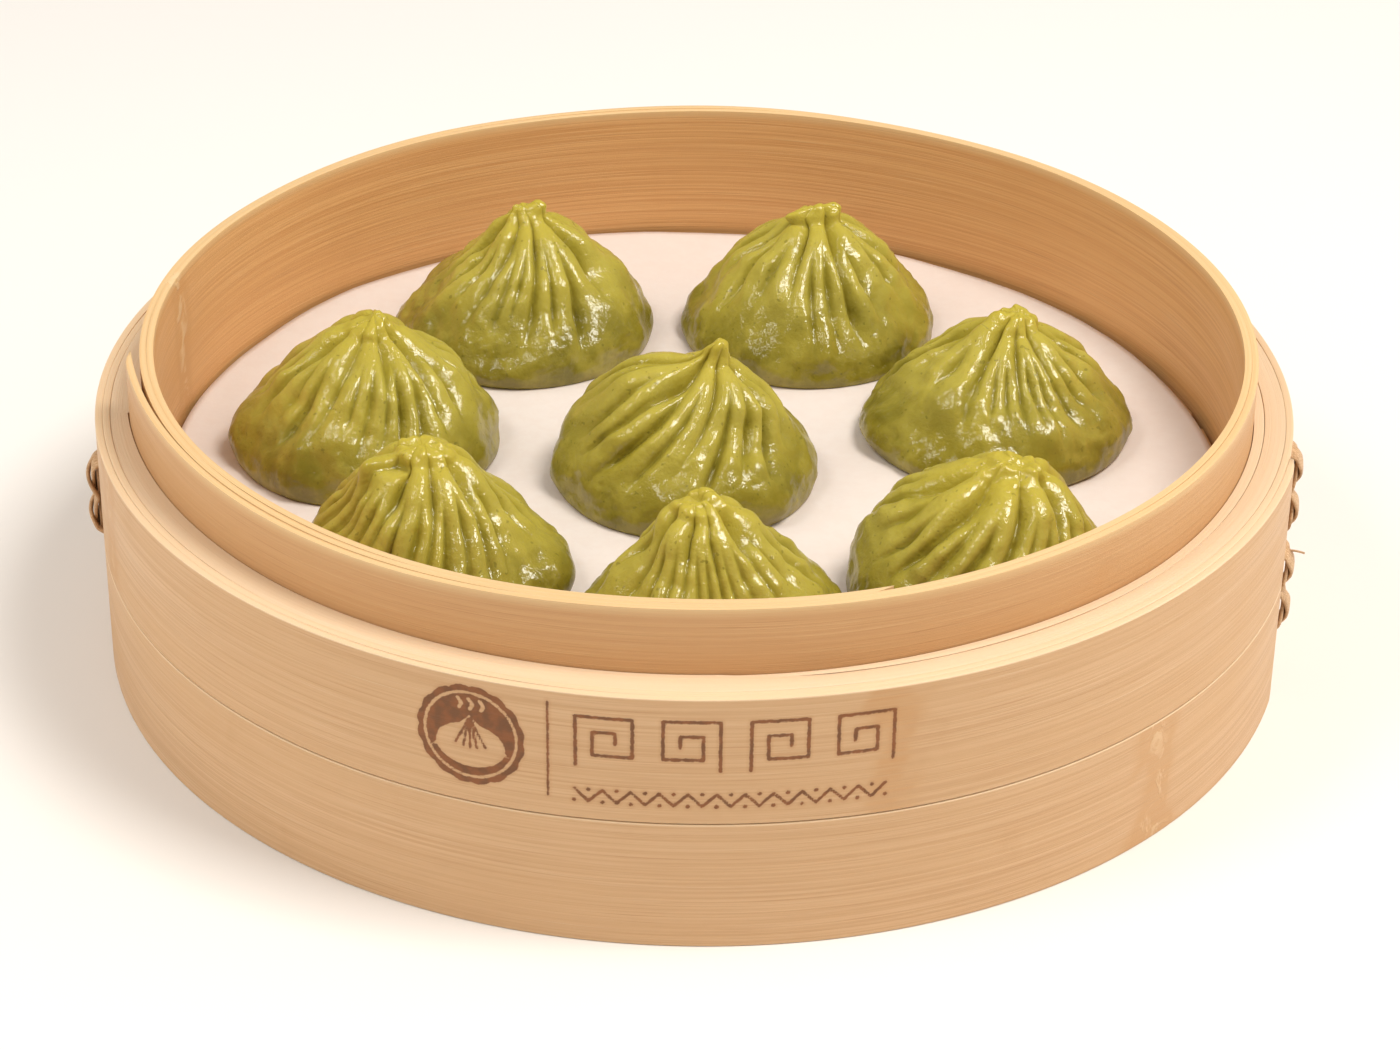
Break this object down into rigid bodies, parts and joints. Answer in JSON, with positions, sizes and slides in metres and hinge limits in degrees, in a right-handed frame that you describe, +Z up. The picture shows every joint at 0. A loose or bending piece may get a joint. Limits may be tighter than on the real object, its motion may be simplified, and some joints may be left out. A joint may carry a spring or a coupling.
{
  "type": "soup dumplings in a bamboo steamer basket",
  "caption": "Pleated green soup dumplings with twisted tips, standing on a paper liner in an open round bamboo steamer basket with a raised rim and a slatted floor.",
  "frame": {"origin": "on the table, at the centre of the round basket", "axes": "+Z up through the open top; -Y towards the burnt mark on the outer band; +X to its right"},
  "size_m": [0.2127, 0.21, 0.0571],
  "materials": {
    "rim_bamboo": "satin",
    "cut_bamboo": "matte",
    "band_bamboo": "satin",
    "floor_bamboo": "matte",
    "liner_paper": "matte",
    "dough": "gloss",
    "cane": "satin"
  },
  "bodies": {
    "root": {"inner_hoop": "rim_bamboo", "shim_hoop": "cut_bamboo", "filler_hoop": "cut_bamboo", "outer_band_lower": "band_bamboo", "outer_band_upper": "band_bamboo", "support_hoop": "floor_bamboo", "crossbar_1": "floor_bamboo", "crossbar_2": "floor_bamboo", "slat_01": "floor_bamboo", "slat_02": "floor_bamboo", "slat_03": "floor_bamboo", "slat_04": "floor_bamboo", "slat_05": "floor_bamboo", "slat_06": "floor_bamboo", "slat_07": "floor_bamboo", "slat_08": "floor_bamboo", "slat_09": "floor_bamboo", "slat_10": "floor_bamboo", "paper_liner": "liner_paper", "dumpling_1": "dough", "dumpling_2": "dough", "dumpling_3": "dough", "dumpling_4": "dough", "dumpling_5": "dough", "dumpling_6": "dough", "dumpling_7": "dough", "dumpling_8": "dough", "tie_1": "cane", "tie_2": "cane", "tie_3": "cane"}
  },
  "joints": []
}
